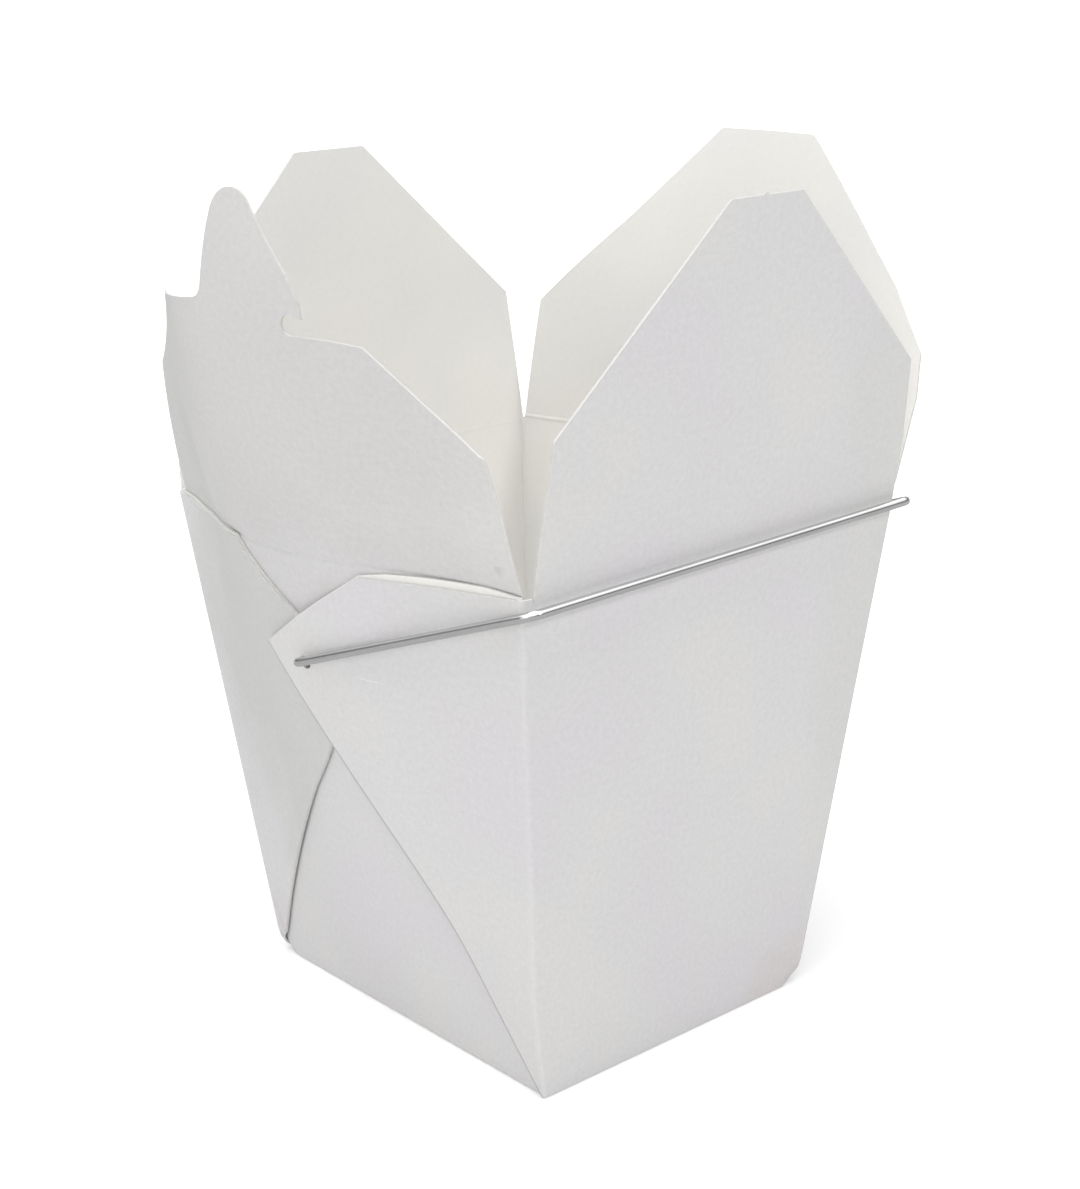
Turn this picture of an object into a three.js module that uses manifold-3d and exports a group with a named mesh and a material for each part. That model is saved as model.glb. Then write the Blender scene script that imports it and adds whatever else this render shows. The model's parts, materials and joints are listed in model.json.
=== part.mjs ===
// Open takeaway pail folded from one sheet of board, with a wire bail. Millimetres, +Z up.
// The origin is the centre of the base's underside. The front wall faces -Y, and the end wall
// whose flap carries the tongue faces -X.
import * as THREE from 'three';
import { mergeVertices } from 'three/addons/utils/BufferGeometryUtils.js';
import Module from 'manifold-3d';

const wasm = await Module();
wasm.setup();

// ---- driving dimensions ----
const board = 0.5; // thickness of the board
const height = 102; // top of the two end walls
const frontDrop = 1.4; // front and back walls stop this much lower, so their flaps shut first
const baseHalf = { x: 34.2, y: 40.9 };
const rimHalf = { x: 45.5, y: 53.9 };
const creaseGap = 0.7; // between a wall's top edge and its flap
const bulgePower = 1.8; // how steeply an end wall's bulge dies away at the corners
const plyGap = 0.2; // between folded layers that lie on each other
const cornerGrip = 0.05; // depth by which a folded layer sinks into the layer that it grows from

const ends = {
  tongue: { side: -1, bulge: 13.4, bulgeCentre: 4 },
  slot: { side: 1, bulge: 10.4, bulgeCentre: 4 },
};

// The corner folds lie on the end walls, the front one over the back one. side is the corner
// along Y, tip and apex are (across, up) on the end wall.
const gussets = {
  back: { side: 1, tip: [-10.5, 85.7], apex: [12.3, 101.2], layer: 0, puff: 3.6 },
  front: { side: -1, tip: [8.5, 82.4], apex: [-22.8, 101.2], layer: 1, puff: 0 },
};
const layersFrom = 10; // height from which a corner fold has its full thickness
const puffTop = 58; // height at which the back fold lies flat again under the front one

// Flap outlines: half-width and height at the crease, the shoulder and the top.
const plainFlap = { crease: 43.4, shoulder: [43.4, 27.2], top: [8.5, 62.4] };
const slotFlap = { crease: 52.6, shoulder: [51.6, 26.1], top: [11, 63.8] };
const tongueFlap = { crease: 53, shoulder: [53, 26.3], top: [33.3, 45.1] };
const tongue = { centre: -4.9, neck: 13.6, neckUp: 49.3, barb: 3, barbUp: 51.2, tip: 3.2, tipUp: 71.5 };
const notch = { radius: 1.7, segments: 14 };
const slit = { up: 42, radius: 42, halfAngle: 19.4, width: 0.8, segments: 14 };

// Lean of a curved flap in degrees: at its middle, the change from end to end, and the change
// towards both ends. curl is how far it has bent outwards at curlUp, beyond that lean.
const curlUp = 61.2;
const tongueLean = { middle: 24.3, twist: -5.4, ends: -7, curl: -16.3 };
const slotLean = { middle: 6.7, twist: -8.4, ends: 6.7, curl: 4.2 };
const frontLean = 9.2;
const backLean = 6;

const wire = { radius: 0.85, sides: 8, steps: 120, bend: 2.6 };
const pivot = { y: -2, z: 81.3 }; // the bail's ends turn here, in both end walls
const wireHole = 1.35; // radius of the hole round each end
const bail = { span: [-56.3, 100.3], spanHalf: 47, standoff: 2.3, hook: 3 };

// ---- shared shapes of the walls ----
const lerp = THREE.MathUtils.lerp;
const rad = THREE.MathUtils.degToRad;
const smooth = THREE.MathUtils.smoothstep;
const halfX = (z) => lerp(baseHalf.x, rimHalf.x, z / height);
const halfY = (z) => lerp(baseHalf.y, rimHalf.y, z / height);

// How much of an end's bulge there is across it, 1 at its middle and 0 at both corners.
function bulgeShape(end, across, reach) {
  const toCorner = across < end.bulgeCentre ? reach + end.bulgeCentre : reach - end.bulgeCentre;
  const turn = Math.min(Math.abs(across - end.bulgeCentre) / toCorner, 1);
  return Math.cos((turn * Math.PI) / 2) ** bulgePower;
}

// Distance of an end wall's outer face from the middle of the box. The corner folds need room
// for two layers, which they give up towards the base.
function endWall(end, across, z) {
  const room = 2 * board * smooth(z, 0, layersFrom);
  const bulge = end.bulge * (z / height) * bulgeShape(end, across, halfY(z));
  return halfX(z) - room + bulge;
}

// ---- solids ----
function solidOf(geometry) {
  const bare = geometry.clone();
  bare.deleteAttribute('normal');
  bare.deleteAttribute('uv');
  const merged = mergeVertices(bare, 1e-4);
  const vertProperties = new Float32Array(merged.attributes.position.array);
  const triVerts = new Uint32Array(merged.index.array);
  return new wasm.Manifold(new wasm.Mesh({ numProp: 3, vertProperties, triVerts }));
}

function geometryOf(solid) {
  const { vertProperties, triVerts } = solid.getMesh();
  const geometry = new THREE.BufferGeometry();
  geometry.setAttribute('position', new THREE.BufferAttribute(vertProperties, 3));
  geometry.setIndex(new THREE.BufferAttribute(triVerts, 1));
  geometry.computeVertexNormals();
  return geometry;
}

function volumeOf(points, faces) {
  let sum = 0;
  for (const [a, b, c] of faces) {
    sum += points[a].dot(points[b].clone().cross(points[c]));
  }
  return sum / 6;
}

// A curved sheet. rows are heights with the sheet's two edges there, and place(across, up, depth)
// gives the point on its outer face (depth 0) or inner face (depth 1).
function sheet(rows, columns, place) {
  const points = [];
  for (const depth of [0, 1]) {
    for (const { up, from, to } of rows) {
      for (let i = 0; i <= columns; i++) {
        points.push(place(lerp(from, to, i / columns), up, depth));
      }
    }
  }
  const last = rows.length - 1;
  const at = (depth, row, i) => (depth * rows.length + row) * (columns + 1) + i;
  const faces = [];
  const quad = (a, b, c, d) => faces.push([a, b, c], [a, c, d]);
  for (let row = 0; row < last; row++) {
    for (let i = 0; i < columns; i++) {
      quad(at(0, row, i), at(0, row, i + 1), at(0, row + 1, i + 1), at(0, row + 1, i));
      quad(at(1, row, i), at(1, row + 1, i), at(1, row + 1, i + 1), at(1, row, i + 1));
    }
    quad(at(0, row, 0), at(0, row + 1, 0), at(1, row + 1, 0), at(1, row, 0));
    quad(at(0, row, columns), at(1, row, columns), at(1, row + 1, columns), at(0, row + 1, columns));
  }
  for (let i = 0; i < columns; i++) {
    quad(at(0, 0, i), at(1, 0, i), at(1, 0, i + 1), at(0, 0, i + 1));
    quad(at(0, last, i), at(0, last, i + 1), at(1, last, i + 1), at(1, last, i));
  }
  const inward = volumeOf(points, faces) < 0;
  const geometry = new THREE.BufferGeometry().setFromPoints(points);
  geometry.setIndex(faces.flatMap((f) => (inward ? [f[0], f[2], f[1]] : f)));
  return geometry;
}

// Rows through the given corners of an outline, with each stretch cut into equal steps.
// corners are [up, from, to, steps to the next corner].
function rowsThrough(corners) {
  const rows = [];
  corners.forEach(([up, from, to, steps], n) => {
    const next = corners[n + 1];
    for (let k = 0; next && k < steps; k++) {
      const part = k / steps;
      const row = { up: lerp(up, next[0], part), from: lerp(from, next[1], part) };
      row.to = lerp(to, next[2], part);
      rows.push(row);
    }
    if (!next) {
      rows.push({ up, from, to });
    }
  });
  return rows;
}

function drill(radius, segments, length, centre) {
  const cylinder = new THREE.CylinderGeometry(radius, radius, length, segments);
  return solidOf(cylinder.rotateZ(Math.PI / 2).translate(...centre));
}

// ---- the carton: base, four walls and four corner folds ----
function plainWall(side, top) {
  const rows = rowsThrough([
    [0, -baseHalf.x, baseHalf.x, 1],
    [top, -halfX(top), halfX(top)],
  ]);
  const place = (x, z, depth) => new THREE.Vector3(x, side * (halfY(z) - depth * board), z);
  return solidOf(sheet(rows, 1, place));
}

function endWallSolid(end) {
  const rows = rowsThrough([
    [0, -baseHalf.y, baseHalf.y, 6],
    [height, -rimHalf.y, rimHalf.y],
  ]);
  const place = (y, z, depth) =>
    new THREE.Vector3(end.side * (endWall(end, y, z) - depth * board), y, z);
  return solidOf(sheet(rows, 20, place));
}

// Gap between an end wall and the fold that lies on it: none at the corner that the fold grows
// from, then room for the folds under it.
function foldGap(fold, y, z) {
  const fromCorner = halfY(z) - fold.side * y;
  const reach = halfY(z) - fold.side * foldEdge(fold, z);
  const rest = plyGap + fold.layer * (2 * board + plyGap) * smooth(fromCorner, 3, 38);
  const standing = Math.sin(Math.PI * Math.min(z / puffTop, 1)) ** 0.8;
  const puff = fold.puff * standing * Math.min(fromCorner / reach, 1) ** 2;
  return lerp(-cornerGrip, rest, smooth(fromCorner, 1, 3)) + puff;
}

// Two layers of board, squeezed thinner at the foot of the fold.
function foldedThickness(z) {
  return 2 * board * Math.max(smooth(z, 0, layersFrom), 0.3);
}

// The fold's slanting outer edge, from the base's corner to its tip.
function foldEdge(fold, z) {
  return lerp(fold.side * baseHalf.y, fold.tip[0], z / fold.tip[1]);
}

function gusset(end, fold) {
  const foot = 1.5;
  const corner = (z) => fold.side * halfY(z);
  const rows = rowsThrough([
    [foot, corner(foot), foldEdge(fold, foot), 8],
    [fold.tip[1], corner(fold.tip[1]), fold.tip[0], 3],
    [fold.apex[1], corner(fold.apex[1]), fold.apex[0]],
  ]);
  const place = (y, z, depth) => {
    const inner = endWall(end, y, z) + foldGap(fold, y, z);
    return new THREE.Vector3(end.side * (inner + (1 - depth) * foldedThickness(z)), y, z);
  };
  return solidOf(sheet(rows, 9, place));
}

function carton() {
  const floor = new THREE.BoxGeometry(2 * baseHalf.x, 2 * baseHalf.y, board);
  let body = solidOf(floor.translate(0, 0, board / 2));
  const frontTop = height - frontDrop;
  for (const side of [-1, 1]) {
    body = body.add(plainWall(side, frontTop));
  }
  for (const end of Object.values(ends)) {
    body = body.add(endWallSolid(end));
    for (const fold of Object.values(gussets)) {
      body = body.add(gusset(end, fold));
    }
    const centre = [end.side * rimHalf.x, pivot.y, pivot.z];
    body = body.subtract(drill(wireHole, 20, rimHalf.x, centre));
  }
  return body;
}

// ---- flaps ----
function flapRows(flap, steps) {
  return rowsThrough([
    [creaseGap / 2, -flap.crease, flap.crease, steps[0]],
    [flap.shoulder[1], -flap.shoulder[0], flap.shoulder[0], steps[1]],
    [flap.top[1], -flap.top[0], flap.top[0]],
  ]);
}

// A flat flap on a front or back wall's crease, leaning outwards.
function flatFlap(side, lean) {
  const creaseUp = height - frontDrop + creaseGap / 2;
  const creaseY = halfY(creaseUp) - board / 2;
  const place = (x, up, depth) => {
    const across = (0.5 - depth) * board;
    const y = creaseY + up * Math.sin(rad(lean)) + across * Math.cos(rad(lean));
    const z = creaseUp + up * Math.cos(rad(lean)) - across * Math.sin(rad(lean));
    return new THREE.Vector3(x, side * y, z);
  };
  return solidOf(sheet(flapRows(plainFlap, [1, 1]), 1, place));
}

// Where a curved flap's outer face is: it leaves the bulged rim of its end wall, leans outwards
// by an amount that changes along it, and curls.
function curvedPlace(end, lean) {
  const creaseUp = height + creaseGap / 2;
  return (y, up, depth) => {
    const turn = y / rimHalf.y;
    const angle = rad(lean.middle + lean.twist * turn + lean.ends * turn * turn);
    const out = up * Math.sin(angle) + lean.curl * (up / curlUp) ** 2;
    const wall = rimHalf.x - 2 * board + end.bulge * bulgeShape(end, y, rimHalf.y);
    const x = wall + out - depth * (board / Math.cos(angle));
    return new THREE.Vector3(end.side * x, y, creaseUp + up * Math.cos(angle));
  };
}

function tongueFlapSolid() {
  const place = curvedPlace(ends.tongue, tongueLean);
  const left = tongue.centre - tongue.neck;
  const right = tongue.centre + tongue.neck;
  const { barb, barbUp, neckUp, tip, tipUp } = tongue;
  const rows = rowsThrough([
    [creaseGap / 2, -tongueFlap.crease, tongueFlap.crease, 4],
    [tongueFlap.shoulder[1], -tongueFlap.shoulder[0], tongueFlap.shoulder[0], 4],
    [tongueFlap.top[1], -tongueFlap.top[0], tongueFlap.top[0], 1],
    [neckUp, left + barb, right - barb / 2, 1],
    [barbUp, left - barb / 2, right - barb, 3],
    [lerp(barbUp, tipUp, 0.85), tongue.centre - 2 * tip, tongue.centre + 1.8 * tip, 1],
    [lerp(barbUp, tipUp, 0.96), tongue.centre - 1.5 * tip, tongue.centre + 1.3 * tip, 1],
    [tipUp, tongue.centre - 0.6 * tip, tongue.centre + 0.5 * tip],
  ]);
  const at = place(left + barb / 2, neckUp + notch.radius / 2, 0.5);
  const cut = drill(notch.radius, notch.segments, 12, at.toArray());
  return solidOf(sheet(rows, 16, place)).subtract(cut);
}

// The slit that takes the tongue, an arc through the flap that bows towards its free edge.
function slitCutter(place) {
  const middle = place(tongue.centre, slit.up - slit.radius, 0.5);
  const rows = [];
  for (let k = 0; k <= slit.segments; k++) {
    rows.push({ up: lerp(-slit.halfAngle, slit.halfAngle, k / slit.segments), from: -1, to: 1 });
  }
  const ring = (across, angle, depth) => {
    const r = slit.radius + (across * slit.width) / 2;
    const x = place(tongue.centre, slit.up, 0.5).x + (depth - 0.5) * 14;
    const y = tongue.centre + r * Math.sin(rad(angle));
    return new THREE.Vector3(x, y, middle.z + r * Math.cos(rad(angle)));
  };
  return solidOf(sheet(rows, 1, ring));
}

function slotFlapSolid() {
  const place = curvedPlace(ends.slot, slotLean);
  return solidOf(sheet(flapRows(slotFlap, [4, 6]), 18, place)).subtract(slitCutter(place));
}

// ---- the wire bail ----
// A path of straight runs with a rounded bend at each inner corner.
function bentPath(corners, bend) {
  const path = new THREE.CurvePath();
  let from = corners[0];
  for (let n = 1; n < corners.length - 1; n++) {
    const before = corners[n].clone().sub(corners[n - 1]).setLength(-bend).add(corners[n]);
    const after = corners[n + 1].clone().sub(corners[n]).setLength(bend).add(corners[n]);
    path.add(new THREE.LineCurve3(from, before));
    path.add(new THREE.QuadraticBezierCurve3(before, corners[n], after));
    from = after;
  }
  path.add(new THREE.LineCurve3(from, corners[corners.length - 1]));
  return path;
}

function bailGeometry() {
  const half = (end) => {
    const face = endWall(end, pivot.y, pivot.z) + 2 * (2 * board + plyGap);
    const arm = end.side * (face + bail.standoff);
    const inside = end.side * (endWall(end, pivot.y, pivot.z) - board - bail.hook);
    return [
      new THREE.Vector3(inside, pivot.y, pivot.z - bail.hook),
      new THREE.Vector3(inside, pivot.y, pivot.z),
      new THREE.Vector3(arm, pivot.y, pivot.z),
      new THREE.Vector3(end.side * bail.spanHalf, ...bail.span),
    ];
  };
  const corners = [...half(ends.tongue), ...half(ends.slot).reverse()];
  const section = new THREE.Shape().absarc(0, 0, wire.radius, 0, 2 * Math.PI);
  return new THREE.ExtrudeGeometry(section, {
    steps: wire.steps,
    curveSegments: wire.sides / 2,
    bevelEnabled: false,
    extrudePath: bentPath(corners, wire.bend),
  });
}

// ---- finishes and scene graph ----
const boardFinish = () =>
  new THREE.MeshStandardMaterial({ color: 0xe4e2e3, roughness: 0.7, metalness: 0 });
const wireFinish = () =>
  new THREE.MeshStandardMaterial({ color: 0xb4b4b6, roughness: 0.3, metalness: 1 });

const group = new THREE.Group();

function piece(name, solid, finish) {
  const mesh = new THREE.Mesh(geometryOf(solid), finish());
  mesh.name = name;
  group.add(mesh);
}

piece('carton', carton(), boardFinish);
piece('front_flap', flatFlap(-1, frontLean), boardFinish);
piece('back_flap', flatFlap(1, backLean), boardFinish);
piece('tongue_flap', tongueFlapSolid(), boardFinish);
piece('slot_flap', slotFlapSolid(), boardFinish);
piece('bail', solidOf(bailGeometry()), wireFinish);

export default group;
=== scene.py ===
import json
import math

import bmesh
import bpy
from mathutils import Matrix, Vector, noise


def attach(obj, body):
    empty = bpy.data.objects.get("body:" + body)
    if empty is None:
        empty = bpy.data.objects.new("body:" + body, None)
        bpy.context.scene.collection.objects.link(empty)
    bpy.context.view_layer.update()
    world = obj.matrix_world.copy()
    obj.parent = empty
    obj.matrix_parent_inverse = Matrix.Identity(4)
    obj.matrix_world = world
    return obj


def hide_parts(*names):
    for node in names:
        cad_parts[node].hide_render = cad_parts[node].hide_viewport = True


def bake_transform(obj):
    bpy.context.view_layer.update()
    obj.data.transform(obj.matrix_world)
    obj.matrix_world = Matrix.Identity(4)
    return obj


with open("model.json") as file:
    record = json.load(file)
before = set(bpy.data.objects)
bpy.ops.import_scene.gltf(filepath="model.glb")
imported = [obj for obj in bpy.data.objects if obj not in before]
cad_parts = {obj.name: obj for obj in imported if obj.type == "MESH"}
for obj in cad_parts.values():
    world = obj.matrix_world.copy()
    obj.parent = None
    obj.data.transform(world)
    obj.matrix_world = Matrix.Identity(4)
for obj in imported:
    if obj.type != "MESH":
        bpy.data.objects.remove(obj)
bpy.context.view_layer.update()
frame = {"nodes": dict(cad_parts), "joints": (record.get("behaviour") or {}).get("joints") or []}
print("frame loaded:", sorted(frame["nodes"]))

# Lengths are millimetres and angles degrees until a piece is finished. Sides are signs: an end
# wall stands at side * X, the front wall at -Y and the back wall at +Y.
mm = 0.001

board = {
    "thickness": 0.46,
    "slack": 0.02,  # air between layers that are pressed together
    "cornerStack": 1.3,  # layers of board beside an end wall in its corner, pressed into each other
    "grid": 2.4,  # size of the squares that a sheet is cut into
    "baseGrid": 3,
    "creaseGrid": 0.13,  # distance of the rows at a crease
    "warp": 0.16,  # height of the board's slow waves
    "warpSize": 36,
    "warpEdge": 14,  # the waves fade out over this distance from the sides and the foot
    "plainSeed": 2.5,
    "endSeed": 5.5,
    "score": 0.03,  # depth of the pressed line at a crease
    "scoreWidth": 0.3,
    "edgeRound": 0.05,
    "edgeAngle": 50,  # edges sharper than this are rounded
    "smoothAngle": 32,
}

box = {
    "height": 102,
    "endTop": 101.4,  # where the end walls stop and their flaps begin
    "plainTop": 100.6,  # the same on the front and back walls
    "baseHalfX": 34.2,
    "baseHalfY": 40.9,
    "rimHalfX": 45.5,
    "rimHalfY": 53.9,
    "footRadius": 0.7,
    "cornerRadius": 0.9,
    "endRecess": 1.0,  # end walls stand this far in, for the folds that lie on them
    "footRecess": 0.5,
    "recessTop": 6,
    "bulgePower": 1.8,
    "bulgeCentre": 4,
    "crown": 0.25,  # the base's middle stands this much off the table
    "skew": 3.8,  # the base's corner at -X, +Y stands this far out of square
    "softCorners": ((-1, 1), (1, -1), (1, 1)),  # base corners where the folded webs are thick
    "softReach": 5,
    "softLift": 1.5,
    "softPull": 0.6,  # share of the lift by which such a corner also draws in
    "pushTop": 20,  # a pushed out corner reaches its full width at this height
    "pushFrom": 0.45,  # and the push starts at this share of the way from the middle
}

# The two ends: how far the wall bulges at its top, and how its lid flap leans and curls.
# cornerOut is how far the layers of board push out the corner with the front wall.
ends = {
    -1: {
        "bulge": 13.4,
        "cornerOut": 1.7,
        "lean": 24.3,
        "twist": -5.4,
        "leanEnds": -7,
        "curl": -16.3,
        "unroll": 3.5,
    },
    1: {
        "bulge": 10.4,
        "cornerOut": 0,
        "lean": 6.7,
        "twist": -8.4,
        "leanEnds": 6.7,
        "curl": 4.2,
        "unroll": 0,
    },
}

# The corner folds that lie on each end wall, by the side of Y of their corner. Points are
# (across, up) on the wall, from the tip, where the fold line meets the cut edge, to the corner.
folds = {
    -1: {
        "tip": (9.3, 82.2),
        "outer": [(-18.8, 100.2), (-32, 100.6), (-44, 101.1)],
        "corner": 101.9,
        "inner": [(8.3, 83.2), (-18.4, 100.6), (-24, 101.6), (-32, 102.1), (-45, 102.6)],
        "innerCorner": 102.3,
        "layer": 1,
        "puff": 0,
        "sway": 0,
        "bow": 1.4,
    },
    1: {
        "tip": (-10.5, 85.2),
        "outer": [(-1.9, 89.4), (11.2, 98.7), (14.2, 101.7), (20, 101.3), (43, 99.8)],
        "corner": 101,
        "inner": [(-9.8, 86), (-0.9, 90), (12.2, 100.3), (14.4, 102.3), (28, 101.4), (42, 100.4)],
        "innerCorner": 101.6,
        "layer": 0,
        "puff": 0.2,
        "sway": 3.7,
        "bow": 0,
    },
}
foldLayers = {
    "gap": 0.06,  # between the folds of the two corners
    "step": 1.3,  # what the upper fold climbs to clear the lower one
    "stepFrom": 3,
    "stepTo": 38,
    "stepLow": 88,  # above the lower fold the upper one comes back to the wall
    "stepHigh": 100,
    "settle": 2.5,  # a fold lies on the wall at the corner, and has its full gap from here on
    "puffTop": 66,
    "puffShape": 0.8,
    "swayTurn": 50,  # the fold line strays inwards below this height and outwards above it
    "footWidth": 0.9,  # a fold's width at the base
    "tuck": 2.6,  # width of the strip turned under at the fold line
    "innerSetback": 3.4,
    "cornerTurn": 0.3,  # flat length of the tight turn of an end wall's edge
}
flapHinge = {"plain": 100.95, "curved": 102.35}

pivot = [joint for joint in frame["joints"] if joint["name"] == "bail_swing"][0]["pos_m"]
bailHole = {"y": pivot[1] / mm, "z": pivot[2] / mm, "drop": 0.4, "radius": 1.3}


def lerp(a, b, part):
    return a + (b - a) * part


def smooth(x, low, high):
    part = min(max((x - low) / (high - low), 0), 1)
    return part * part * (3 - 2 * part)


# Surfaces of the walls.
def footInset(z):
    radius = box["footRadius"]
    if z >= radius:
        return 0
    return radius - math.sqrt(max(radius ** 2 - (radius - z) ** 2, 0))


def halfX(z):
    return lerp(box["baseHalfX"], box["rimHalfX"], z / box["height"]) - footInset(z)


def halfY(z):
    return lerp(box["baseHalfY"], box["rimHalfY"], z / box["height"]) - footInset(z)


def warp(across, up, reach, seed):
    size = board["warpSize"]
    hold = smooth(reach - abs(across), 0, board["warpEdge"]) * smooth(up, 0, board["warpEdge"])
    return board["warp"] * hold * noise.noise(Vector((across / size, up / size, seed)))


def bulge(side, y, z, reach):
    centre = box["bulgeCentre"]
    toCorner = reach + centre if y < centre else reach - centre
    turn = min(abs(y - centre) / toCorner, 1)
    shape = math.cos(turn * math.pi / 2) ** box["bulgePower"]
    out = ends[side]["bulge"] * z / box["height"] * shape + warp(y, z, reach, board["endSeed"] + side)
    return out + cornerOut(side, z) * nearFront(y / reach)


def cornerOut(side, z):
    return ends[side]["cornerOut"] * min(z / box["pushTop"], 1)


def nearFront(turn):  # turn goes from -1 at the front corner to 1 at the back corner
    return smooth(-turn, box["pushFrom"], 1)


def endFace(side, y, z):  # how far out the end wall's white face is
    recess = lerp(box["footRecess"], box["endRecess"], smooth(z, 0, box["recessTop"]))
    return halfX(z) - recess + bulge(side, y, z, halfY(z))


def straightReach(corner, z):  # width of a corner fold at height z, as the flat board is creased
    y, top = folds[corner]["tip"]
    return lerp(foldLayers["footWidth"], halfY(top) - corner * y, z / top)


def foldReach(corner, z):  # the same once folded, where the line sways
    top = folds[corner]["tip"][1]
    turn = foldLayers["swayTurn"]
    part = z / turn if z < turn else min(1 + (z - turn) / (top - turn), 2)
    stray = folds[corner]["sway"] * math.sin(math.pi * part)
    stray += folds[corner]["bow"] * math.sin(math.pi * min(z / top, 1))
    return straightReach(corner, z) - stray


def swayed(corner, z):  # how much the board between the corner and the fold line is squeezed
    spare = box["cornerRadius"] + board["thickness"] + board["slack"]
    return (foldReach(corner, z) - spare) / (straightReach(corner, z) - spare)


def foldGap(corner, y, z):  # air under a corner fold
    fold = folds[corner]
    fromCorner = halfY(z) - corner * y
    climb = foldLayers["step"] * smooth(fromCorner, foldLayers["stepFrom"], foldLayers["stepTo"])
    climb *= 1 - smooth(z, foldLayers["stepLow"], foldLayers["stepHigh"])
    rest = foldLayers["gap"] + fold["layer"] * climb
    standing = math.sin(math.pi * min(z / foldLayers["puffTop"], 1)) ** foldLayers["puffShape"]
    puff = fold["puff"] * standing * min(fromCorner / max(foldReach(corner, z), 1), 1) ** 2
    return rest * smooth(fromCorner, 0, foldLayers["settle"]) + puff


# Front and back sheets: a runs to the right as seen from outside. Past each corner the sheet
# lies on the end wall, and past the slanting fold line it is tucked back under itself.
def placeOnPlain(side, a, z):
    corner = box["rimHalfX"]
    turn = box["cornerRadius"]
    squeeze = halfX(z) / corner
    beyond = abs(a) - corner
    end = -side if a > 0 else side
    stretch = cornerOut(end, z) * (a / corner) ** 2 if side < 0 else 0
    if beyond <= -turn:
        x = a * squeeze
        y = side * (halfY(z) + warp(x, z, halfX(z), board["plainSeed"] + side))
        return Vector((-side * x + end * stretch, y, z))
    across, depth = beyond, 0
    if beyond < turn:
        angle = (beyond / turn + 1) * math.pi / 4
        across = turn * (1 - math.cos(angle))
        depth = turn * squeeze * (1 - math.sin(angle))
    else:
        radius = board["thickness"] + board["slack"]
        past = beyond - straightReach(side, z) + radius
        if past > 0:
            angle = min(past / radius, math.pi)
            across = foldReach(side, z) - radius
            across += radius * math.sin(angle) - max(past - math.pi * radius, 0)
            depth = radius * (1 - math.cos(angle))
        else:
            across = turn + (beyond - turn) * swayed(side, z)
    y = side * (halfY(z) - across)
    face = halfX(z) + bulge(end, y, z, halfY(z)) + foldGap(side, y, z)
    return Vector((end * (face - depth), y, z))


def endCorner(z):  # where an end wall's sheet turns back on itself, behind the plain wall
    return halfY(z) - board["cornerStack"] * (board["thickness"] + board["slack"])


# End sheets: b runs to the right as seen from outside. Past each corner the sheet turns back
# and lies on its own wall with its cream face outwards.
def placeOnEnd(side, b, z):
    corner = endCorner(box["height"])
    beyond = abs(b) - corner
    if beyond <= 0:
        y = side * b * endCorner(z) / corner
        return Vector((side * endFace(side, y, z), y, z))
    where = side if b > 0 else -side
    radius = board["slack"]
    if beyond < foldLayers["cornerTurn"]:
        angle = beyond / foldLayers["cornerTurn"] * math.pi
        y = where * (endCorner(z) + radius * math.sin(angle))
        gap = radius * (1 - math.cos(angle))
    else:
        y = where * (endCorner(z) - beyond + foldLayers["cornerTurn"])
        gap = max(foldGap(where, y, z), 2 * radius)
    return Vector((side * (endFace(side, y, z) + gap), y, z))


def outOfSquare(place):  # the real box leans a little, and its folded corners are soft below
    pull = smooth(-place.x, 0, box["baseHalfX"]) * smooth(place.y, 0, box["baseHalfY"])
    reach = box["softReach"]
    for sideX, sideY in box["softCorners"]:
        away = math.hypot(place.x - sideX * box["baseHalfX"], place.y - sideY * box["baseHalfY"])
        lift = box["softLift"] * smooth(reach - away, 0, reach) * max(1 - place.z / reach, 0) ** 2
        pullIn = lift * box["softPull"]
        place += Vector((-sideX * pullIn, -sideY * pullIn, lift))
    place.y += box["skew"] * pull * (1 - place.z / box["height"])
    return place


# Cutting a sheet from board. Each sheet has a spot of its own in the flat map, in metres.
layout = {"front": 0, "back": 0.3, "left": 0.6, "right": 0.9, "base": 1.2}
plainSpot = {-1: layout["front"], 1: layout["back"]}
endSpot = {-1: layout["left"], 1: layout["right"]}


def arc(centre, radius, start, finish, steps):
    points = []
    for k in range(steps + 1):
        angle = math.radians(lerp(start, finish, k / steps))
        points.append((centre[0] + radius * math.cos(angle), centre[1] + radius * math.sin(angle)))
    return points


def roundedOutline(corners, steps=6):  # corners are (x, y) or (x, y, radius)
    points = []
    for n, corner in enumerate(corners):
        at = Vector(corner[:2])
        if len(corner) == 2:
            points.append(tuple(at))
            continue
        before = (Vector(corners[n - 1][:2]) - at).normalized()
        after = (Vector(corners[(n + 1) % len(corners)][:2]) - at).normalized()
        reach = corner[2] / math.tan(before.angle(after) / 2)
        for k in range(steps + 1):
            part = k / steps
            start = at + before * reach * (1 - part) ** 2
            points.append(tuple(start + after * reach * part ** 2))
    return points


def cutAt(bm, point, normal, near=None):
    geometry = bm.verts[:] + bm.edges[:] + bm.faces[:]
    if near:
        centre, radius = near
        faces = [f for f in bm.faces if (f.calc_center_median() - centre).length < radius]
        edges = {e for f in faces for e in f.edges}
        geometry = list({v for f in faces for v in f.verts}) + list(edges) + faces
    bmesh.ops.bisect_plane(bm, geom=geometry, dist=1e-4, plane_co=point, plane_no=normal)


def flatSheet(outline, columns, rows, slants=()):
    bm = bmesh.new()
    bm.faces.new([bm.verts.new((x, y, 0)) for x, y in outline])
    for x in columns:
        cutAt(bm, Vector((x, 0, 0)), Vector((1, 0, 0)))
    for y in rows:
        cutAt(bm, Vector((0, y, 0)), Vector((0, 1, 0)))
    for point, direction in slants:
        cutAt(bm, Vector((*point, 0)), Vector((-direction[1], direction[0], 0)))
    return bm


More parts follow.
